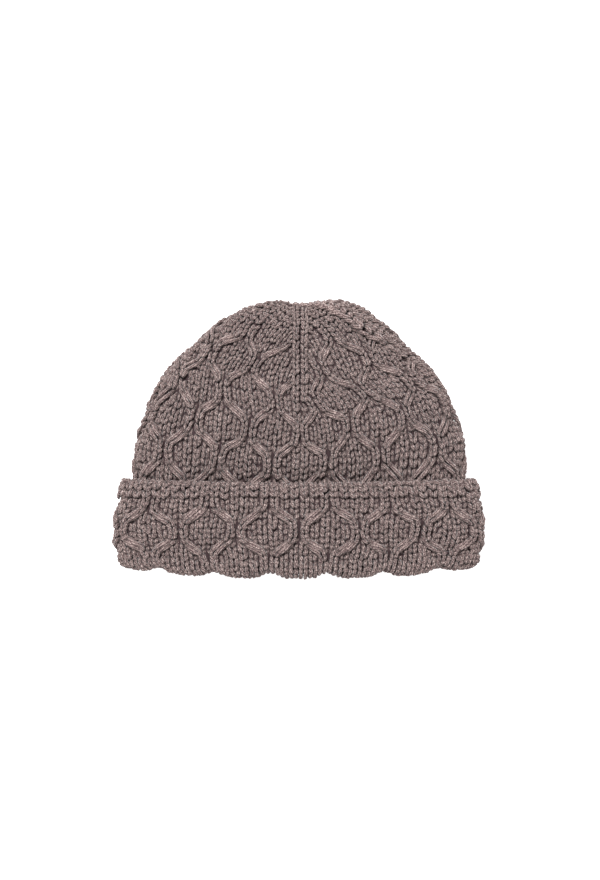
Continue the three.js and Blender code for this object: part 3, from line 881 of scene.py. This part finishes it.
def cuff_quarter(quarter):
    """All the cabled legs of a quarter of the cuff."""
    courses = np.arange(-COURSES_PER_ROW, COURSES_PER_ROW + 2) / COURSES_PER_ROW
    laid = []

    def place(cells, row):
        moved_cells, moved_row = wander(quarter, cells, row, cells / CELLS_PER_QUARTER)
        inside = 1 - smoothstep(np.abs(row), *CUFF_WANDER_FADES)
        return cuff_place(quarter, blend(cells, moved_cells, inside), blend(row, moved_row, inside))

    for wale in cable_wales(0.5 if quarter in FRONT_QUARTERS else 0, courses):
        start, line, height, middle, rows, lengths, widths = wale
        centre = start + line(rows, middle)[0]
        kept = (centre >= 0) & (CELLS_PER_QUARTER - centre > side_room(quarter))
        wale = (start, line, sinks_under_band(height), middle, rows[kept], lengths[kept], widths[kept])
        if kept.any():
            laid += lay_wale(place, wale, LEG_SPLAY)
    return join_legs(laid)


cuff_quarters = [cuff_quarter(quarter) for quarter in range(4)]
for name, halves in (("cuff_front", FRONT_QUARTERS), ("cuff_back", (1, 2))):
    piece = yarn_piece(name, *join_legs([cuff_quarters[quarter] for quarter in halves]))
    piece.data.materials.append(cashmere)
    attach(piece, "root")
    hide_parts("cuff")

# The edge band and the fold: plain knitting in the same yarn, six even stitches to a cell. The band runs
# from the groove where the cables begin over the free edge, the fold from their lower end round the mouth.
PLAIN_STITCHES = {"front": 20, "back": 19}  # in a quarter, 78 round the hat
PLAIN_LEG_HEIGHT = -1
EDGE_COURSES_DOWN = [7.3, 4.2, 1.1, -2, -5.1]
FOLD_FULLNESS = 1.02  # how much wider the legs are that press on each other round the fold
FOLD_SPLAY = 0.09  # their V is pulled straight there
FOLD_COURSES_DOWN = [50.6, 53.7, 56.8, 59.9, 63, 66]


def plain_stitches(courses_down, fullness, splay):
    """The legs of whole courses of plain stitches, so far down the cuff's face."""
    rows = (FULL_CELLS_DOWN - np.array(courses_down)) / ROW_HEIGHT
    lengths = np.full(len(rows), COURSE_OVERLAP * COURSE_HEIGHT / ROW_HEIGHT)
    widths = np.full(len(rows), EVEN_STITCH * fullness)

    def line(row, beside):
        return beside * EVEN_STITCH, row

    def height(row, beside):
        return np.full(row.shape, PLAIN_LEG_HEIGHT)

    laid = []
    for quarter in range(4):

        def place(cells, row, quarter=quarter):
            return cuff_place(quarter, cells, row)

        for stitch in range(PLAIN_STITCHES["front" if quarter in FRONT_QUARTERS else "back"]):
            wale = ((stitch + 0.5) * EVEN_STITCH, line, height, 0, rows, lengths, widths)
            laid += lay_wale(place, wale, splay)
    return join_legs(laid)


for name, stitches in (
    ("cuff_edge_band", plain_stitches(EDGE_COURSES_DOWN, 1, PLAIN_SPLAY)),
    ("cuff_fold", plain_stitches(FOLD_COURSES_DOWN, FOLD_FULLNESS, FOLD_SPLAY)),
):
    piece = yarn_piece(name, *stitches)
    piece.data.materials.append(cashmere)
    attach(piece, "root")

# The wrong side of the knitting, inside the mouth: each stitch shows as a bump of yarn that lies across the
# wales, and the bumps of one course sit between those of the next.
STITCHES_ROUND = 78
PURL_COURSES_DOWN = np.arange(68, 95, 2.9)
PURL_HEIGHT = -0.2
PURL_LENGTH = 0.62  # half of it, in stitches
PURL_ARCH = 0.9  # how far a bump's ends bend away from its middle, up or down by turns
PURL_TUCK = 0.5
PURL_WIDTH = 0.95  # half of it, as is the depth
PURL_DEPTH = 0.7
PURL_SCATTER = {"width": 0.06, "depth": 0.05}


def purl_bumps():
    """The legs of the wrong side's bumps, as for a piece of yarn."""
    t = leg_stations
    laid = []
    for number, down in enumerate(PURL_COURSES_DOWN):
        middles = (np.arange(STITCHES_ROUND) + 0.5 * (number % 2)) * 4 / STITCHES_ROUND
        shares = middles[:, None] + t * PURL_LENGTH * 4 / STITCHES_ROUND
        downs = down + (PURL_ARCH if number % 2 else -PURL_ARCH) * t**2 + np.zeros_like(shares)
        points, outwards = cuff_surface(shares, downs)
        centres = points + outwards * (PURL_HEIGHT - PURL_TUCK * t**2)[..., None]
        scatter = chance.normal(0, 1, (2, STITCHES_ROUND))
        half_widths = PURL_WIDTH * (1 + PURL_SCATTER["width"] * scatter[0])
        half_depths = PURL_DEPTH * (1 + PURL_SCATTER["depth"] * scatter[1])
        laid.append((centres, outwards, half_widths, half_depths))
    return join_legs(laid)


piece = yarn_piece("crown_wrong_side", *purl_bumps())
piece.data.materials.append(cashmere)
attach(piece, "root")

# The body of the fabric behind the legs: the yarn's loops that hold the stitches together from the back,
# felted into a closed wall. Its outer face is painted shade, darker than the yarn before it, which gives the
# gaps between the legs their depth, and no light comes through.
BEHIND_LEGS = 3.5
BEHIND_POLE = 1.4  # near the pole it lies so far straight below the surface
WALL_COLUMNS = 208
ABOVE_GROUND = 2  # least height of its outer face, besides its thickness
WELD = 0.00002  # metres, over which the seam and the pole are closed
LOOP_BROWN_IN_SHADE = "#45363a"
LOOPS = 350  # to a metre
CROWN_WALL_ROWS = np.arange(-2.6, 6.251, 0.15)
CUFF_WALL_DOWN = np.arange(80, 2.9, -1.6)

shaded_fabric_back, tree = new_material("cashmere_fabric_back")
place_node = add_node(tree, "ShaderNodeTexCoord")
loops = add_node(tree, "ShaderNodeTexNoise", {
    "Vector": place_node.outputs["Object"], "Scale": LOOPS, "Detail": 3, "Roughness": 0.6,
})
# Painted shade: the outer face, seen only in the gaps between the legs, runs between two shadow browns.
ramp = add_node(tree, "ShaderNodeValToRGB", {"Fac": loops})
ramp.color_ramp.elements[0].color = colour(PLY_SHADOW)
ramp.color_ramp.elements[1].color = colour(LOOP_BROWN_IN_SHADE)
bump = add_node(tree, "ShaderNodeBump", {"Height": loops, "Strength": 1, "Distance": 0.0006})
shader = add_node(tree, "ShaderNodeBsdfPrincipled", {
    "Base Color": ramp, "Normal": bump, "Roughness": 0.95, "IOR": 1.5,
    "Specular IOR Level": 0.1, "Sheen Weight": 0.2, "Sheen Roughness": 0.5,
})
add_node(tree, "ShaderNodeOutputMaterial", {"Surface": shader})

# The wall's inner face is the wrong side of plain knitting: rows of bumps, each half a stitch beside the
# last, which are too many to model where they lie deep in the hat. They give it a pebbled look.
wrong_side, tree = new_material("cashmere_wrong_side")
stitch_uv = add_node(tree, "ShaderNodeUVMap", uv_map="UVMap")
# The dark mortar between the bumps is painted shade.
bumps = add_node(tree, "ShaderNodeTexBrick", {
    "Vector": stitch_uv, "Scale": 1, "Brick Width": 1, "Row Height": 1,
    "Mortar Size": 0.2, "Mortar Smooth": 1,
    "Color1": colour(FIBRE_MIDDLE), "Color2": colour(FIBRE_DARK), "Mortar": colour(PLY_SHADOW),
})
sunken = add_node(tree, "ShaderNodeBump", {
    "Height": bumps.outputs["Fac"], "Strength": 1, "Distance": 0.001,
}, invert=True)
shader = add_node(tree, "ShaderNodeBsdfPrincipled", {
    "Base Color": bumps, "Normal": sunken, "Roughness": 0.9, "IOR": 1.5,
    "Specular IOR Level": 0.1, "Sheen Weight": 0.2, "Sheen Roughness": 0.4,
})
add_node(tree, "ShaderNodeOutputMaterial", {"Surface": shader})


def fabric_wall(name, surface, stations, courses, thickness, pole_stations=None):
    """A closed wall of fabric behind the legs, from rings of a surface. Its UV map counts stitches round the
    hat and courses up it."""
    bpy.ops.object.select_all(action="DESELECT")
    bpy.ops.mesh.primitive_grid_add(x_subdivisions=WALL_COLUMNS, y_subdivisions=len(stations) - 1, size=2)
    wall = bpy.context.object
    wall.name = name
    wall.data.name = name
    count = len(wall.data.vertices)
    flat = np.empty(count * 3, np.float32)
    wall.data.vertices.foreach_get("co", flat)
    flat = flat.reshape(-1, 3)
    shares = (flat[:, 0] + 1) / 2 * 4
    lines = np.rint((flat[:, 1] + 1) / 2 * (len(stations) - 1)).astype(int)
    points, outwards = surface(shares, stations[lines])
    behind = -BEHIND_LEGS * outwards
    if pole_stations:
        near_pole = smoothstep(stations[lines], *pole_stations)[:, None]
        behind = blend(behind, np.array([0, -BEHIND_POLE, 0]), near_pole)
    points = points + behind
    points[:, 2] = np.maximum(points[:, 2], ABOVE_GROUND + thickness)
    wall.data.vertices.foreach_set("co", (points * MM).astype(np.float32).ravel())
    uvs = np.empty(2 * len(wall.data.loops), np.float32)
    wall.data.uv_layers.active.data.foreach_get("uv", uvs)
    stitches = uvs.reshape(-1, 2) * (STITCHES_ROUND, courses)
    wall.data.uv_layers.active.data.foreach_set("uv", stitches.astype(np.float32).ravel())
    wall.data.update()
    bpy.ops.object.mode_set(mode="EDIT")
    bpy.ops.mesh.select_all(action="SELECT")
    bpy.ops.mesh.remove_doubles(threshold=WELD)
    bpy.ops.mesh.normals_make_consistent(inside=False)
    bpy.ops.object.mode_set(mode="OBJECT")
    wall.data.materials.append(shaded_fabric_back)
    wall.data.materials.append(wrong_side)
    solid = wall.modifiers.new("thickness", "SOLIDIFY")
    solid.thickness = thickness * MM
    solid.offset = -1
    solid.material_offset = 1
    bpy.ops.object.modifier_apply(modifier=solid.name)
    wall.data.shade_smooth()
    return wall


crown_wall = fabric_wall(
    "crown_wall", crown_surface, CROWN_WALL_ROWS, courses=53, thickness=1.4, pole_stations=(5.2, 5.8)
)
cuff_wall = fabric_wall("cuff_wall", cuff_surface, CUFF_WALL_DOWN, courses=24, thickness=1.2)
for wall, slot in ((crown_wall, "knit_yarn"), (cuff_wall, "cuff_yarn")):
    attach(wall, "root")
